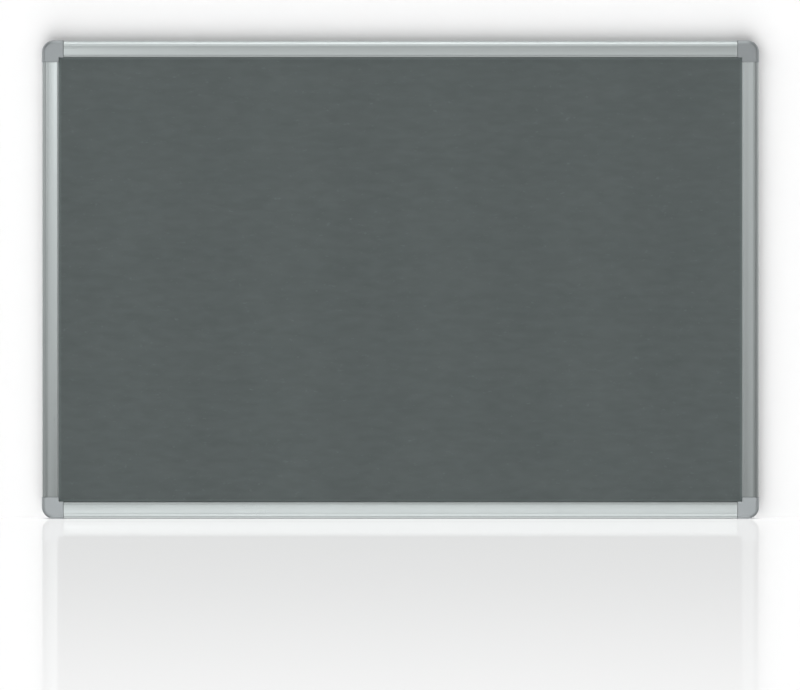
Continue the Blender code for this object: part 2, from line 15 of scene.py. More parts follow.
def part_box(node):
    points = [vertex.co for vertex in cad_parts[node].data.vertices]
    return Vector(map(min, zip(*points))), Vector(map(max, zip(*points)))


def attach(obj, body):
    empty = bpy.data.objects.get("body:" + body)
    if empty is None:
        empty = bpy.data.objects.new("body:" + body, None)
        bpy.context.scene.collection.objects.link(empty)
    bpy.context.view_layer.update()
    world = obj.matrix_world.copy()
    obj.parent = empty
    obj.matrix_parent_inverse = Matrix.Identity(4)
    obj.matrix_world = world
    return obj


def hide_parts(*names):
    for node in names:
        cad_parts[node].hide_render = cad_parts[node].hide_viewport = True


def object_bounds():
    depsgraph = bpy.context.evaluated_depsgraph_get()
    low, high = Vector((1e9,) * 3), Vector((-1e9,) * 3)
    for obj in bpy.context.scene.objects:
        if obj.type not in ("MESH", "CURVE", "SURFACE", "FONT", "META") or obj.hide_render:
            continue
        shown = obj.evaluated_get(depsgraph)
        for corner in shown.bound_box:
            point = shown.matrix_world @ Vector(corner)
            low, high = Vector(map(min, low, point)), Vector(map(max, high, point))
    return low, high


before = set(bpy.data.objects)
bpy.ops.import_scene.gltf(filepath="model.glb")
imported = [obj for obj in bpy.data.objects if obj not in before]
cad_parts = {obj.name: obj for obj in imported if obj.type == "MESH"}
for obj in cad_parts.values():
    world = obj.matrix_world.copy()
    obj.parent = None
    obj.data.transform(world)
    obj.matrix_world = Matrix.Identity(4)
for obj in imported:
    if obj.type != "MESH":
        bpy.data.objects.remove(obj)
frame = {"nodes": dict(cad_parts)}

bl_info = {
    "name": "Felt notice board",
    "version": (1, 0, 0),
    "blender": (4, 5, 0),
    "location": "3D View > Sidebar > Notice board",
    "description": "Dresses a felt notice board and sets it on its stage",
    "category": "Object",
}

CAD_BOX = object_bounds()
CORNERS = ("bottom_left", "bottom_right", "top_left", "top_right")
LONG_RAILS = ("frame_top", "frame_bottom")
SHORT_RAILS = ("frame_left", "frame_right")


# Settings

class FeltSettings(bpy.types.PropertyGroup):
    """The felt that takes the pins."""

    colour: FloatVectorProperty(
        name="Felt colour", description="Colour of the felt's fibres together",
        subtype="COLOR", size=3, min=0, max=1, default=(0.168, 0.198, 0.196))
    streak: FloatProperty(
        name="Streaks", description="How far the felt's short level streaks are lighter or darker",
        subtype="FACTOR", min=0, max=1, default=0.225)
    fleck: FloatProperty(
        name="Flecks", description="How much lighter the scattered pale tufts are",
        subtype="FACTOR", min=0, max=1, default=0.30)
    tangle: FloatProperty(
        name="Tangle", description="How far single fibres are lighter or darker than the rest",
        subtype="FACTOR", min=0, max=2, default=0.2)
    band: FloatProperty(
        name="Bands", description="How far the needle loom's upright bands are lighter or darker",
        subtype="FACTOR", min=0, max=0.2, default=0.018)
    band_pitch: FloatProperty(
        name="Band pitch", description="Distance from one of the loom's bands to the next",
        unit="LENGTH", min=0.02, max=1, default=0.193)
    # Painted light: the felt is painted lighter along the rails, where their shade falls
    painted_rim_light: FloatProperty(
        name="Rim", description="How much lighter the felt is where its nap is pressed along the rails",
        subtype="FACTOR", min=0, max=2, default=0.6)
    relief: FloatProperty(
        name="Relief", description="Height of the felt's soft unevenness",
        unit="LENGTH", min=0, max=0.0002, default=0.00012)
    cell: FloatProperty(
        name="Relief cell", description="Spacing of the points that carry the relief",
        unit="LENGTH", min=0.002, max=0.02, default=0.0032)
    nip: FloatProperty(
        name="Corner nip", description="Length cut off each corner of the sheet",
        unit="LENGTH", min=0, max=0.02, default=0.007)


class FrameSettings(bpy.types.PropertyGroup):
    """The aluminium rails and their plastic corners."""

    metal: FloatVectorProperty(
        name="Anodised colour", description="Colour of the anodised aluminium",
        subtype="COLOR", size=3, min=0, max=1, default=(0.503, 0.543, 0.541))
    die_line: FloatProperty(
        name="Die line depth", description="Depth of the fine lines that run along an extruded rail",
        unit="LENGTH", min=0, max=0.0001, default=0.000006)
    # Painted shade: the long rails are painted darker beside the felt
    painted_shade: FloatProperty(
        name="Dust", description="How far dust dulls the long rails beside the felt",
        subtype="FACTOR", min=0, max=1, default=0.35)
    # Painted shade: the bottom rail is painted darker still beside the felt
    ledge_painted_shade: FloatProperty(
        name="Ledge dust", description="How much more dust lies on the bottom rail's ledge",
        subtype="FACTOR", min=0, max=1, default=0.35)
    # Painted shade: the short rails are painted darker where the bullnose begins
    painted_crease_shade: FloatProperty(
        name="Crease", description="How dull the short rails are left where the bullnose begins",
        subtype="FACTOR", min=0, max=1, default=0.25)
    # Painted highlight: the short rails are painted lighter beside the felt
    painted_highlight: FloatProperty(
        name="Gleam", description="How far wiping has brightened the short rails beside the felt",
        subtype="FACTOR", min=0, max=1, default=0.35)
    # Painted light: the short rails are painted lighter towards the top and darker towards the bottom
    painted_height_light: FloatProperty(
        name="Handled", description="How much the short rails dull in a metre towards their lower ends",
        min=0, max=2, default=0.5)
    # Painted shade: the short rails' outer edges are painted darker
    painted_edge_shade: FloatProperty(
        name="Rubbed edges", description="How far handling has dulled the short rails' outer edges",
        subtype="FACTOR", min=0, max=1, default=0.35)
    cap: FloatVectorProperty(
        name="Cap colour", description="Colour of the corner caps' plastic",
        subtype="COLOR", size=3, min=0, max=1, default=(0.413, 0.444, 0.456))
    bracket: FloatVectorProperty(
        name="Bracket colour", description="Colour of the corner brackets' plastic",
        subtype="COLOR", size=3, min=0, max=1, default=(0.25, 0.27, 0.28))
    grain: FloatProperty(
        name="Mould grain", description="Depth of the fine grain that the mould leaves on plastic",
        unit="LENGTH", min=0, max=0.0001, default=0.000012)


class StageSettings(bpy.types.PropertyGroup):
    """The camera, the light, the wall and the floor."""

    distance: FloatProperty(
        name="Camera distance", description="From the board's front to the camera",
        unit="LENGTH", min=1, max=10, default=4)
    width: FloatProperty(
        name="Picture width", description="How much the picture shows across, at the board's front",
        unit="LENGTH", min=0.5, max=3, default=1.0034)
    aside: FloatProperty(
        name="Picture offset", description="How far the picture's middle lies beside the board's",
        unit="LENGTH", min=-0.1, max=0.1, default=-0.0006)
    drop: FloatProperty(
        name="Picture drop", description="How far above the picture's middle the board sits",
        min=-0.2, max=0.2, default=0.0818)
    lamps: FloatProperty(
        name="Lamp strength", description="Strength of all the lamps together, against their usual one",
        min=0, max=5, default=1)
    daylight: FloatProperty(
        name="Daylight", description="Brightness of the even light all round",
        min=0, max=5, default=0.078)
    mirror: FloatProperty(
        name="Table gloss", description="Share of the light that the table mirrors near the board",
        subtype="FACTOR", min=0, max=1, default=0.27)
    fade_start: FloatProperty(
        name="Gloss fade start", description="How far from the wall the table's gloss begins to fade",
        unit="LENGTH", min=0, max=5, default=0.4)
    fade_end: FloatProperty(
        name="Gloss fade end", description="How far from the wall the table's gloss has faded out",
        unit="LENGTH", min=0.1, max=9, default=2.8)


class BoardSettings(bpy.types.PropertyGroup):
    """All that can be set on the notice board."""

    felt: PointerProperty(type=FeltSettings)
    frame: PointerProperty(type=FrameSettings)
    stage: PointerProperty(type=StageSettings)


# Materials

class Value:
    """A shader socket that can stand in a sum."""

    def __init__(self, recipe, socket):
        self.recipe = recipe
        self.socket = socket

    def sum(self, operation, *terms, clamp=False):
        """A Math node over the terms, which are sockets or plain numbers."""
        settings = {"operation": operation, "use_clamp": clamp}
        return self.recipe.node("ShaderNodeMath", settings, dict(enumerate(terms)))

    def __add__(self, other):
        return self.sum("ADD", self, other)

    __radd__ = __add__

    def __sub__(self, other):
        return self.sum("SUBTRACT", self, other)

    def __rsub__(self, other):
        return self.sum("SUBTRACT", other, self)

    def __mul__(self, other):
        return self.sum("MULTIPLY", self, other)

    __rmul__ = __mul__

    def __truediv__(self, other):
        return self.sum("DIVIDE", self, other)

    def __pow__(self, other):
        return self.sum("POWER", self, other)

    def __abs__(self):
        return self.sum("ABSOLUTE", self)

    def __lt__(self, other):
        return self.sum("LESS_THAN", self, other)

    def clamped(self):
        """The value held between 0 and 1."""
        return self.sum("ADD", self, 0, clamp=True)


class Recipe:
    """A material that is put together from nodes."""

    def __init__(self, name):
        self.material = bpy.data.materials.new(name)
        self.material.use_nodes = True
        self.tree = self.material.node_tree
        self.tree.nodes.clear()

    def node(self, kind, settings, sockets, output=0):
        """A node with its settings, then its sockets' values or links; gives one of its outputs."""
        made = self.tree.nodes.new(kind)
        for key, setting in settings.items():
            setattr(made, key, setting)
        for key, given in sockets.items():
            socket = made.inputs[key]
            if isinstance(given, Value):
                self.tree.links.new(given.socket, socket)
            else:
                socket.default_value = given
        return Value(self, made.outputs[output]) if made.outputs else None

    def place(self):
        """The point on the piece, in metres."""
        return self.node("ShaderNodeTexCoord", {}, {}, "Object")

    def stretched(self, place, factors):
        """The point with each axis times its own factor."""
        return self.node("ShaderNodeVectorMath", {"operation": "MULTIPLY"}, {0: place, 1: factors})

    def turned(self, place, angle, axis):
        """The point turned round one axis by an angle in degrees."""
        settings = {"rotation_type": f"{axis}_AXIS"}
        sockets = {"Vector": place, "Angle": math.radians(angle)}
        return self.node("ShaderNodeVectorRotate", settings, sockets)

    def noise(self, place, scale=1, detail=2, roughness=0.5, distortion=0):
        """Cloudy noise between 0 and 1, with scale features in a unit of the place."""
        sockets = {"Vector": place, "Scale": scale, "Detail": detail, "Roughness": roughness,
                   "Distortion": distortion}
        return self.node("ShaderNodeTexNoise", {"normalize": True}, sockets, "Fac")

    def axis(self, place, name):
        """One coordinate of the point."""
        return self.node("ShaderNodeSeparateXYZ", {}, {0: place}, name)

    def scaled(self, colour, factor):
        """A linked colour times a factor."""
        return self.node("ShaderNodeVectorMath", {"operation": "SCALE"}, {0: colour, "Scale": factor})

    def mix(self, factor, first, second):
        """A colour between two colours."""
        settings = {"data_type": "RGBA", "blend_type": "MIX", "clamp_factor": True}
        sockets = {"Factor": factor, "A": as_colour(first), "B": as_colour(second)}
        return self.node("ShaderNodeMix", settings, sockets, "Result")

    def bump(self, height, depth, beneath=None):
        """The surface's normal with relief, where depth is in metres for a height of 0 to 1."""
        sockets = {"Strength": 1, "Distance": depth, "Height": height}
        if beneath is not None:
            sockets["Normal"] = beneath
        return self.node("ShaderNodeBump", {}, sockets, "Normal")

    def surface(self, **sockets):
        """Finish the material with one Principled shader."""
        named = {key.replace("_", " "): as_colour(given) if "Color" in key or "Tint" in key else given
                 for key, given in sockets.items()}
        shader = self.node("ShaderNodeBsdfPrincipled", {}, named, "BSDF")
        self.output(shader)
        return self.material

    def output(self, shader):
        """Send a shader to the material's output."""
        self.node("ShaderNodeOutputMaterial", {}, {"Surface": shader})


def as_colour(given):
    """A colour with its alpha, or the link as it is."""
    return given if isinstance(given, Value) else (*given, 1)


def shade(colour, factor):
    """A colour made darker or lighter by a factor."""
    return tuple(min(1, part * factor) for part in colour)


# The felt's patterns: features in a metre to the right, outwards and up, or along and across a fibre
FIBRE_ANGLES = (4, 63, 128)
FIBRE_GRID = (420, 1400, 3800)
STREAK_GRID = (42, 100, 120)
TUFT_GRID = (150, 200, 330)
CLOUD_GRID = (14, 20, 30)
FUZZ_GRID = 1500
TUFT_THRESHOLD = 0.66
TUFT_SHARPNESS = 5
CLOUD_CONTRAST = 0.06
CLOUD_WARMTH = 1.02
FIBRE_RELIEF = 0.0002
FUZZ_RELIEF = 0.0001
# How far from the rails the painted light along them reaches, and how far from the middle a paler band lies
PAINTED_RIM_LIGHT_REACH = 0.004
BAND_PLACE = 0.047


def felt_fibres(recipe, place):
    """Three layers of fibres that cross each other."""
    layers = 0
    for angle in FIBRE_ANGLES:
        turned = recipe.turned(place, angle, "Y")
        strands = recipe.noise(recipe.stretched(turned, FIBRE_GRID), detail=3, roughness=0.6, distortion=0.8)
        layers = strands + layers
    return layers / len(FIBRE_ANGLES)


def felt_material(felt, edge):
    """Needled felt: tangled fibres, short level streaks, pale tufts, and light painted along the rails where
    their shade falls.

    The edge gives how far the rails' inner edges lie from the middle, to the side and up.
    """
    recipe = Recipe("felt")
    place = recipe.place()
    colour = tuple(felt.colour)
    warmer = (colour[0] * CLOUD_WARMTH, *colour[1:])
    tangle = felt_fibres(recipe, place)
    level = recipe.stretched(place, STREAK_GRID)
    streaks = recipe.noise(level, detail=1.2, roughness=0.45, distortion=0.3)
    tufts = recipe.noise(recipe.stretched(place, TUFT_GRID))
    fleck = ((tufts - TUFT_THRESHOLD) * TUFT_SHARPNESS).clamped()
    cloud = recipe.noise(recipe.stretched(place, CLOUD_GRID))
    to_side = edge[0] - abs(recipe.axis(place, "X"))
    to_end = edge[1] - abs(recipe.axis(place, "Z"))
    # Painted light along the rails' inner edges, where their shade falls
    painted_rim_light = (1 - to_side.sum("MINIMUM", to_side, to_end) / PAINTED_RIM_LIGHT_REACH).clamped() ** 2
    along = (recipe.axis(place, "X") - BAND_PLACE) * (2 * math.pi / felt.band_pitch)
    bands = along.sum("COSINE", along)
    tone = ((streaks - 0.5) * felt.streak + (tangle - 0.5) * felt.tangle
            + (cloud - 0.5) * CLOUD_CONTRAST
            + bands * felt.band + fleck * felt.fleck + painted_rim_light * felt.painted_rim_light + 1)
    fuzz = recipe.noise(place, FUZZ_GRID, detail=4, roughness=0.65)
    return recipe.surface(
        Base_Color=recipe.scaled(recipe.mix(cloud, colour, warmer), tone),
        Roughness=0.96, Specular_IOR_Level=0.15, Sheen_Weight=0.12,
        Sheen_Roughness=0.55, Sheen_Tint=(0.75, 0.80, 0.80),
        Normal=recipe.bump(tangle, FIBRE_RELIEF, recipe.bump(fuzz, FUZZ_RELIEF)))


# Features in a metre along a rail and across it
DIE_LINES = (3, 2600)
DIE_BANDS = (1.5, 500)
RAIL_HAZE_GRID = 14
METAL_DARKER = 0.92
METAL_LIGHTER = 1.08
# Measured from a rail's inner edge: how far the painted shade and painted highlight beside the felt reach,
# where the bullnose begins and how wide its painted dark line is, and where the painted shade on the
# outer edge starts and how soon it is at its darkest
PAINTED_SHADE_REACH = 0.005
PAINTED_HIGHLIGHT_REACH = 0.003
PAINTED_CREASE_PLACE = 0.015
PAINTED_CREASE_REACH = 0.0018
PAINTED_EDGE_SHADE_PLACE = 0.0178
PAINTED_EDGE_SHADE_RAMP = 0.0015
# Middle tone of the short rails' painted light, which is lighter towards the top
SHORT_RAIL_PAINTED_TONE = 0.955


def long_rail_painted_shade(recipe, place, outwards, settings):
    """How much painted shade darkens the top and bottom rails, more the bottom one, at a distance outwards
    from their inner edges.
    """
    painted_shade = settings.painted_shade + (recipe.axis(place, "Z") < 0) * settings.ledge_painted_shade
    return 1 - (1 - outwards / PAINTED_SHADE_REACH).clamped() * painted_shade


def short_rail_painted_light(recipe, place, outwards, settings):
    """The left and right rails' painted light: a painted highlight beside the felt, painted shade where the
    bullnose begins and on the outer edge, and lighter towards the top.
    """
    painted_factor = (1 + (1 - outwards / PAINTED_HIGHLIGHT_REACH).clamped() * settings.painted_highlight
            - (1 - abs(outwards - PAINTED_CREASE_PLACE) / PAINTED_CREASE_REACH).clamped() * settings.painted_crease_shade
            - ((outwards - PAINTED_EDGE_SHADE_PLACE) / PAINTED_EDGE_SHADE_RAMP).clamped() * settings.painted_edge_shade)
    return painted_factor * (SHORT_RAIL_PAINTED_TONE + recipe.axis(place, "Z") * settings.painted_height_light)


def aluminium_material(settings, along, inner):
    """Satin anodised aluminium with the extrusion's fine lines along one axis, and painted light and shade.

    The rails' inner edges lie at a distance inner from the board's middle.
    """
    recipe = Recipe(f"anodised_aluminium_along_{along}")
    place = recipe.place()
    fine, broad = [(grid[0], grid[1], grid[1]) if along == "x" else (grid[1], grid[1], grid[0])
                   for grid in (DIE_LINES, DIE_BANDS)]
    lines = recipe.noise(recipe.stretched(place, fine), detail=3, roughness=0.6)
    bands = recipe.noise(recipe.stretched(place, broad))
    haze = recipe.noise(place, RAIL_HAZE_GRID, detail=3, roughness=0.55)
    metal = tuple(settings.metal)
    tone = ((bands - 0.5) * 0.5 + (haze - 0.5) * 0.5 + 0.5).clamped()
    outwards = abs(recipe.axis(place, "Z" if along == "x" else "X")) - inner
    # Painted shade and highlights in the base colour, in place of the rails' reflections
    painted_light_and_shade = long_rail_painted_shade if along == "x" else short_rail_painted_light
    unpainted_metal = recipe.mix(tone, shade(metal, METAL_DARKER), shade(metal, METAL_LIGHTER))
    return recipe.surface(
        Base_Color=recipe.scaled(unpainted_metal, painted_light_and_shade(recipe, place, outwards, settings)),
        Metallic=1, Roughness=0.30 + (lines - 0.5) * 0.10 + (haze - 0.5) * 0.06,
        Normal=recipe.bump(lines, settings.die_line))


CAP_ROUGHNESS = 0.36
CAP_PEARL = 0.5
BRACKET_ROUGHNESS = 0.5
MOULD_GRID = 3600
PLASTIC_HAZE_GRID = 60
PLASTIC_DARKER = 0.96
PLASTIC_LIGHTER = 1.04


def plastic_material(name, colour, grain, roughness, pearl=0):
    """Moulded plastic with a fine spark-eroded grain and a share of metallic pigment."""
    recipe = Recipe(name)
    place = recipe.place()
    grains = recipe.noise(place, MOULD_GRID, detail=3, roughness=0.6)
    haze = recipe.noise(place, PLASTIC_HAZE_GRID, detail=3, roughness=0.6)
    return recipe.surface(
        Base_Color=recipe.mix(haze, shade(colour, PLASTIC_DARKER), shade(colour, PLASTIC_LIGHTER)),
        Metallic=pearl, Roughness=roughness + (haze - 0.5) * 0.08, Specular_IOR_Level=0.42,
        Normal=recipe.bump(grains, grain))


SOFTBOARD_BROWN = (0.36, 0.25, 0.15)
SOFTBOARD_GRID = (700, 700, 1190)
SOFTBOARD_CONTRAST = 3
LINER_BROWN = (0.40, 0.33, 0.25)
LINER_GRID = (420, 420, 714)
LINER_CONTRAST = 1.6
BOARD_CLOUD_GRID = 9
BOARD_CLOUD_CONTRAST = 0.6
BOARD_DARKER = 0.78
BOARD_LIGHTER = 1.2
FLECK_RELIEF = 0.00008


def fibre_board_material(name, colour, grid, contrast):
    """Pressed fibre board or paper board, with flecks of a grid of features in a metre."""
    recipe = Recipe(name)
    place = recipe.place()
    flecks = recipe.noise(recipe.stretched(place, grid), detail=4, roughness=0.7)
    cloud = recipe.noise(place, BOARD_CLOUD_GRID, detail=3)
    tone = ((flecks - 0.5) * contrast + (cloud - 0.5) * BOARD_CLOUD_CONTRAST + 0.5).clamped()
    return recipe.surface(
        Base_Color=recipe.mix(tone, shade(colour, BOARD_DARKER), shade(colour, BOARD_LIGHTER)),
        Roughness=0.88, Specular_IOR_Level=0.25, Normal=recipe.bump(flecks, FLECK_RELIEF))


ZINC_DARKER = (0.56, 0.58, 0.60)
ZINC_LIGHTER = (0.68, 0.69, 0.69)
MOTTLE_GRID = 900
PLATING_RELIEF = 0.00001


def zinc_material():
    """Bright zinc plating with a faint mottle."""
    recipe = Recipe("zinc_plated_steel")
    place = recipe.place()
    mottle = recipe.noise(place, MOTTLE_GRID, detail=3, roughness=0.6)
    return recipe.surface(
        Base_Color=recipe.mix(mottle, ZINC_DARKER, ZINC_LIGHTER),
        Metallic=1, Roughness=0.26 + (mottle - 0.5) * 0.2, Normal=recipe.bump(mottle, PLATING_RELIEF))


def dress(names, material):
    """Give CAD nodes a material."""
    for name in names:
        for slot in frame["nodes"][name].material_slots:
            slot.material = material


# Pieces

def add_piece(name, mesh, material, body):
    """A new piece that rides on a body."""
    mesh.materials.append(material)
    piece = bpy.data.objects.new(name, mesh)
    bpy.context.scene.collection.objects.link(piece)
    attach(piece, body)
    return piece


# The felt's unevenness: features in a metre, where the noise is cut, and the share of each
ROLLING = (95, 3.1, 0.6)
LUMPS = (210, 7.7, 0.4)
NIP_TOLERANCE = 1e-7
SHARP_EDGE = math.radians(40)


def felt_height(x, z, relief):
    """How far the felt stands proud of its mean face at a point."""
    return relief * sum(share * noise.noise(Vector((x * grid, cut, z * grid)))
                        for grid, cut, share in (ROLLING, LUMPS))


def felt_mesh(felt):
    """The felt sheet: a front with soft relief, cut edges and a flat back."""
    low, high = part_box("felt_face")
    width = high[0] - low[0]
    height = high[2] - low[2]
    shape = bmesh.new()
    columns = round(width / felt.cell)
    rows = round(height / felt.cell)
    placing = Matrix.Diagonal((width, height, 1, 1))
    bmesh.ops.create_grid(shape, x_segments=columns, y_segments=rows, size=0.5, matrix=placing)
    for x_side in (-1, 1):
        for z_side in (-1, 1):
            on_nip = Vector((x_side * (width / 2 - felt.nip), z_side * height / 2, 0))
            geometry = [*shape.verts, *shape.edges, *shape.faces]
            outwards = Vector((x_side, z_side, 0)).normalized()
            bmesh.ops.bisect_plane(shape, geom=geometry, dist=NIP_TOLERANCE, plane_co=on_nip,
                                   plane_no=outwards, clear_outer=True)
    outline = [edge for edge in shape.edges if edge.is_boundary]
    drawn = bmesh.ops.extrude_edge_only(shape, edges=outline)
    rear = [part for part in drawn["geom"] if isinstance(part, bmesh.types.BMVert)]
    rear_edges = [part for part in drawn["geom"] if isinstance(part, bmesh.types.BMEdge)]
    bmesh.ops.edgeloop_fill(shape, edges=rear_edges)
    at_rear = set(rear)
    for vert in shape.verts:
        x, z = vert.co.x, vert.co.y
        if vert in at_rear:
            vert.co = (x, high[1], z)
        else:
            vert.co = (x, low[1] - felt_height(x, z, felt.relief), z)
    bmesh.ops.recalc_face_normals(shape, faces=shape.faces)
    mesh = bpy.data.meshes.new("felt_sheet")
    shape.to_mesh(mesh)
    shape.free()
    mesh.shade_smooth()
    mesh.set_sharp_from_angle(angle=SHARP_EDGE)
    return mesh


class BoardFelt(bpy.types.Operator):
    """Lay the felt sheet over the softboard."""

    bl_idname = "notice_board.felt"
    bl_label = "Felt"

    def execute(self, context):
        felt = context.scene.notice_board.felt
        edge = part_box("frame_right")[0][0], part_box("frame_top")[0][2]
        finish = felt_material(felt, edge)
        sheet = add_piece("felt_sheet", felt_mesh(felt), finish, "board")
        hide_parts("felt_face")
        return {"FINISHED"}


class BoardCore(bpy.types.Operator):
    """Finish the softboard core that takes the pins."""

    bl_idname = "notice_board.core"
    bl_label = "Softboard core"

    def execute(self, context):
        softboard = fibre_board_material("softboard", SOFTBOARD_BROWN, SOFTBOARD_GRID, SOFTBOARD_CONTRAST)
        dress(["softboard_core"], softboard)
        return {"FINISHED"}


class BoardBacking(bpy.types.Operator):
    """Finish the liner board that closes the back."""

    bl_idname = "notice_board.backing"
    bl_label = "Backing sheet"

    def execute(self, context):
        liner = fibre_board_material("liner_board", LINER_BROWN, LINER_GRID, LINER_CONTRAST)
        dress(["backing_sheet"], liner)
        return {"FINISHED"}


class BoardRails(bpy.types.Operator):
    """Finish the four aluminium rails."""

    bl_idname = "notice_board.rails"
    bl_label = "Rails"

    def execute(self, context):
        settings = context.scene.notice_board.frame
        dress(LONG_RAILS, aluminium_material(settings, "x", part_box("frame_top")[0][2]))
        dress(SHORT_RAILS, aluminium_material(settings, "z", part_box("frame_right")[0][0]))
        return {"FINISHED"}


class BoardCaps(bpy.types.Operator):
    """Finish the pull-off corner caps."""

    bl_idname = "notice_board.caps"
    bl_label = "Corner caps"

    def execute(self, context):
        settings = context.scene.notice_board.frame
        plastic = plastic_material("cap_plastic", tuple(settings.cap), settings.grain,
                                   CAP_ROUGHNESS, CAP_PEARL)
        dress([f"corner_cap_{corner}" for corner in CORNERS], plastic)
        return {"FINISHED"}


class BoardBrackets(bpy.types.Operator):
    """Finish the corner brackets."""

    bl_idname = "notice_board.brackets"
    bl_label = "Corner brackets"

    def execute(self, context):
        settings = context.scene.notice_board.frame
        plastic = plastic_material("bracket_plastic", tuple(settings.bracket), settings.grain,
                                   BRACKET_ROUGHNESS)
        dress([f"corner_bracket_{corner}" for corner in CORNERS], plastic)
        return {"FINISHED"}


class BoardScrews(bpy.types.Operator):
    """Finish the screws that hold the rails to the brackets."""

    bl_idname = "notice_board.screws"
    bl_label = "Corner screws"

    def execute(self, context):
        screws = [f"corner_screw_{corner}_{count}" for corner in CORNERS for count in (1, 2)]
        dress(screws, zinc_material())
        return {"FINISHED"}


# Stage

STAGE_WHITE = (0.96, 0.96, 0.96)
STAGE_REACH = 6
TABLE_FRONT = -8
TABLE_TOP = CAD_BOX[0][2] - 0.0002
TABLE_GLOSS_ROUGHNESS = 0.03
WALL_BEHIND = 0.0005
# The wall's opening lies this far inside the board's outline, and is cut off at its corners, which the
# board's rounded corners leave in sight
OPENING_INSET = 0.0004
OPENING_CUT = 0.020
SENSOR_WIDTH = 36
VIEW_END = 50
LOW_EDGE = ("frame_bottom", "corner_cap_bottom_left", "corner_cap_bottom_right")

# Name, what it lights, degrees to the right and up, width in degrees, strength. These pass the table.
SOFT_SUNS = (
    ("ahead", "board", 0, 0, 14, 0.055),
    ("ahead_high", "board", 0, 20, 24, 0.16),
    ("half_high", "board", 0, 45, 30, 0.25),
    ("above", "board", 0, 70, 30, 0.42),
    ("overhead", "board", 0, 90, 40, 0.125),
    ("near_left", "board", -30, 5, 30, 0.11),
    ("left", "board", -62, 5, 36, 0.14),
    ("left_edge", "board", -85, 5, 30, 0.15),
    ("near_right", "board", 26, 5, 28, 0.17),
    ("right_edge", "board", 82, 5, 36, 0.18),
    ("ahead_low", "board", 0, -15, 20, 0.042),
    ("half_low", "board", 0, -45, 40, 0.42),
    ("below", "board", 0, -75, 40, 0.29),
    ("low_right", "board", 50, -35, 50, 0.10),
    ("low_left", "board", -50, -35, 50, 0.10),
    ("low_behind", "board", 180, -55, 50, 0.56),
    ("kick", "low_edge", 0, -10, 70, 0.44),
    ("kick_low", "low_edge", 0, -12, 24, 0.021),
    ("wall_wide", "walls", 0, 0, 130, 0.38),
    ("wall_left", "walls", -50, 0, 70, 1.35),
    ("wall_right", "walls", 50, 0, 70, 0.48),
    ("wall_low", "walls", 0, -50, 70, 2.1),
    ("wall_lowest", "walls", 0, -65, 50, 0.34),
)
# The same for lamps that show in reflections alone, and let the rails gleam in views from aside
GLOSS_SUNS = (
    ("gloss_left", "board", -31, -22, 26, 0.078),
    ("gloss_right", "board", 31, -22, 26, 0.078),
    ("gloss_far_left", "board", -62, -26, 36, 0.18),
    ("gloss_far_right", "board", 62, -26, 36, 0.18),
)
# The same for lamps that the table blocks
BLOCKED_SUNS = (
    ("table", "table", 0, 40, 60, 4.1),
    ("table_high", "table", 0, 88, 100, 0.42),
    ("behind", "board", 180, 10, 130, 1.1),
    ("behind_left", "board", -140, 20, 50, 0.45),
    ("behind_right", "board", 140, 20, 50, 0.45),
)
# Name, place, the point it faces, width and height, power in watts
SOFT_BOXES = (
    ("key", (-1.2, -3.2, 0.6), (-0.3, 0, 0.1), (0.7, 0.7), 3.8),
    ("strip_right", (1.0, -4.0, 0.3), (0, 0, 0.1), (0.5, 2.4), 0.76),
    ("foot_left", (-1.2, -3.0, -0.15), (-0.3, 0, -0.2), (0.6, 0.25), 1.05),
)


def add_plane(name, corners, material):
    """A flat part of the stage, through its corners in order."""
    mesh = bpy.data.meshes.new(name)
    mesh.from_pydata(corners, [], [tuple(range(len(corners)))])
    mesh.materials.append(material)
    plane = bpy.data.objects.new(name, mesh)
    bpy.context.scene.collection.objects.link(plane)
    return plane


def wall_material():
    """White paint that can be seen through from behind."""
    recipe = Recipe("stage_wall")
    paint = recipe.node("ShaderNodeBsdfDiffuse", {}, {"Color": (*STAGE_WHITE, 1)})
    clear = recipe.node("ShaderNodeBsdfTransparent", {}, {})
    behind = recipe.node("ShaderNodeNewGeometry", {}, {}, "Backfacing")
    recipe.output(recipe.node("ShaderNodeMixShader", {}, {0: behind, 1: paint, 2: clear}))
    return recipe.material


def table_material(stage):
    """A white table whose gloss fades away from the board."""
    recipe = Recipe("stage_table")
    paint = recipe.node("ShaderNodeBsdfDiffuse", {}, {"Color": (*STAGE_WHITE, 1)})
    mirror = {"Color": (1, 1, 1, 1), "Roughness": TABLE_GLOSS_ROUGHNESS}
    gloss = recipe.node("ShaderNodeBsdfGlossy", {}, mirror)
    place = recipe.axis(recipe.place(), "Y")
    gone = ((place + stage.fade_start) / (stage.fade_start - stage.fade_end)).clamped()
    smooth = gone * gone * (3 - 2 * gone)
    factor = (1 - smooth) * stage.mirror
    recipe.output(recipe.node("ShaderNodeMixShader", {}, {0: factor, 1: paint, 2: gloss}))
    return recipe.material


def add_lamp(name, light):
    """A lamp that shows in reflections and not in the picture itself."""
    lamp = bpy.data.objects.new(name, light)
    bpy.context.scene.collection.objects.link(lamp)
    lamp.visible_camera = False
    return lamp


def add_soft_sun(name, aside, up, spread, strength):
    """Light from far off: degrees to the right of straight ahead, degrees up, width of its disc."""
    light = bpy.data.lights.new(name, "SUN")
    light.angle = math.radians(spread)
    light.energy = strength
    lamp = add_lamp(name, light)
    turn, tilt = math.radians(aside), math.radians(up)
    level = math.cos(tilt)
    towards = Vector((math.sin(turn) * level, -math.cos(turn) * level, math.sin(tilt)))
    lamp.rotation_euler = towards.to_track_quat("Z", "Y").to_euler()
    return lamp


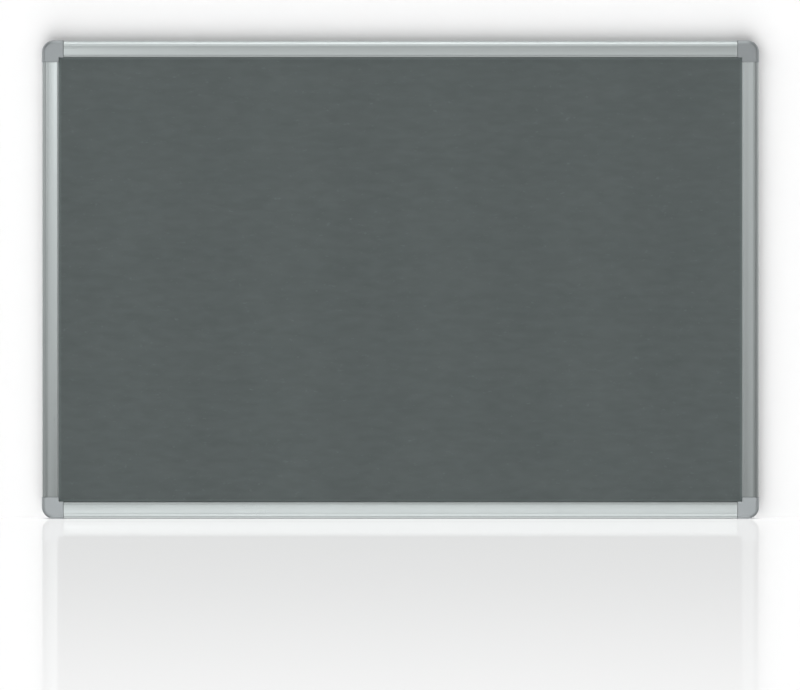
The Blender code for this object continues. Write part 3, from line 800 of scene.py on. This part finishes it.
def add_soft_box(name, place, aim, size, power):
    """A soft box in the studio that faces a point."""
    light = bpy.data.lights.new(name, "AREA")
    light.shape = "RECTANGLE"
    light.size, light.size_y = size
    light.energy = power
    lamp = add_lamp(name, light)
    lamp.location = place
    lamp.rotation_euler = (Vector(aim) - Vector(place)).to_track_quat("-Z", "Y").to_euler()
    return lamp


def add_wall():
    """The wall right behind the board, open where the board hides it."""
    side = CAD_BOX[1][0] - OPENING_INSET
    top = CAD_BOX[1][2] - OPENING_INSET
    foot = TABLE_TOP
    neck = side - OPENING_CUT
    far = STAGE_REACH
    left = [(-far, foot), (-neck, foot), (-side, foot + OPENING_CUT), (-side, top - OPENING_CUT),
            (-neck, top), (-neck, far), (-far, far)]
    right = [(-x, z) for x, z in reversed(left)]
    middle = [(-neck, top), (neck, top), (neck, far), (-neck, far)]
    paint = wall_material()
    walls = []
    for name, outline in (("left", left), ("right", right), ("top", middle)):
        corners = [(x, WALL_BEHIND, z) for x, z in outline]
        wall = add_plane(f"stage_wall_{name}", corners, paint)
        wall.visible_diffuse = False
        walls.append(wall)
    return walls


def add_table(stage):
    """The table that the board stands on, which doesn't light the board."""
    corners = [(-STAGE_REACH, TABLE_FRONT, TABLE_TOP), (STAGE_REACH, TABLE_FRONT, TABLE_TOP),
               (STAGE_REACH, STAGE_REACH, TABLE_TOP), (-STAGE_REACH, STAGE_REACH, TABLE_TOP)]
    table = add_plane("stage_table", corners, table_material(stage))
    table.visible_glossy = False
    table.visible_diffuse = False
    return table


def link_set(name, pieces, state):
    """A set of pieces that a lamp is kept to, or kept from."""
    made = bpy.data.collections.new(name)
    for piece in pieces:
        made.objects.link(piece)
    for entry in made.collection_objects:
        entry.light_linking.link_state = state
    return made


def add_lamps(table, walls, strength):
    """The studio's lamps, each kept to what it lights; the ones below shine up through the table."""
    low_edge = [frame["nodes"][name] for name in LOW_EDGE]
    lit = {
        "board": link_set("all_but_stage", [table, *walls], "EXCLUDE"),
        "low_edge": link_set("low_edge", low_edge, "INCLUDE"),
        "walls": link_set("walls", walls, "INCLUDE"),
        "table": link_set("table", [table], "INCLUDE"),
    }
    clear_table = link_set("clear_table", [table], "EXCLUDE")
    groups = ((SOFT_SUNS, clear_table, True), (GLOSS_SUNS, clear_table, False),
              (BLOCKED_SUNS, None, True))
    for suns, blockers, lights_paint in groups:
        for name, what, aside, up, spread, share in suns:
            lamp = add_soft_sun(name, aside, up, spread, share * strength)
            lamp.light_linking.receiver_collection = lit[what]
            lamp.light_linking.blocker_collection = blockers
            lamp.visible_diffuse = lights_paint
    for name, place, aim, size, power in SOFT_BOXES:
        lamp = add_soft_box(name, place, aim, size, power * strength)
        lamp.light_linking.receiver_collection = lit["board"]


def add_daylight(scene, strength):
    """Even white light all round."""
    world = bpy.data.worlds.new("stage_daylight")
    world.use_nodes = True
    sky = world.node_tree.nodes["Background"]
    sky.inputs["Color"].default_value = (1, 1, 1, 1)
    sky.inputs["Strength"].default_value = strength
    scene.world = world


def add_camera(scene, stage):
    """A camera square on to the board."""
    camera = bpy.data.cameras.new("camera")
    camera.sensor_width = SENSOR_WIDTH
    camera.lens = camera.sensor_width * stage.distance / stage.width
    camera.shift_y = -stage.drop
    camera.clip_end = VIEW_END
    eye = bpy.data.objects.new("camera", camera)
    scene.collection.objects.link(eye)
    eye.location = (stage.aside, CAD_BOX[0][1] - stage.distance, 0)
    eye.rotation_euler = (math.radians(90), 0, 0)
    scene.camera = eye


class BoardStage(bpy.types.Operator):
    """Set up the wall, the table, the light and the camera."""

    bl_idname = "notice_board.stage"
    bl_label = "Stage"

    def execute(self, context):
        scene = context.scene
        stage = scene.notice_board.stage
        scene.view_settings.view_transform = "Standard"
        table = add_table(stage)
        add_lamps(table, add_wall(), stage.lamps)
        add_daylight(scene, stage.daylight)
        add_camera(scene, stage)
        return {"FINISHED"}


# Add-on

OPERATORS = (BoardFelt, BoardCore, BoardBacking, BoardRails, BoardCaps, BoardBrackets, BoardScrews,
             BoardStage)


class BoardSidebar(bpy.types.Panel):
    """Lists the notice board's operators."""

    bl_idname = "NOTICEBOARD_PT_sidebar"
    bl_label = "Felt notice board"
    bl_space_type = "VIEW_3D"
    bl_region_type = "UI"
    bl_category = "Notice board"

    def draw(self, context):
        board = context.scene.notice_board
        for group in (board.felt, board.frame, board.stage):
            box = self.layout.box()
            for key in group.__annotations__:
                box.prop(group, key)
        for operator in OPERATORS:
            self.layout.operator(operator.bl_idname)


CLASSES = (FeltSettings, FrameSettings, StageSettings, BoardSettings, *OPERATORS, BoardSidebar)


def register():
    """Make the settings, operators and sidebar known to Blender."""
    for kind in CLASSES:
        bpy.utils.register_class(kind)
    bpy.types.Scene.notice_board = PointerProperty(type=BoardSettings)


def unregister():
    """Take them away again."""
    del bpy.types.Scene.notice_board
    for kind in reversed(CLASSES):
        bpy.utils.unregister_class(kind)


def main():
    """Dress the board and set the stage."""
    register()
    for operator in OPERATORS:
        group, name = operator.bl_idname.split(".")
        getattr(getattr(bpy.ops, group), name)()


if __name__ == "__main__":
    main()
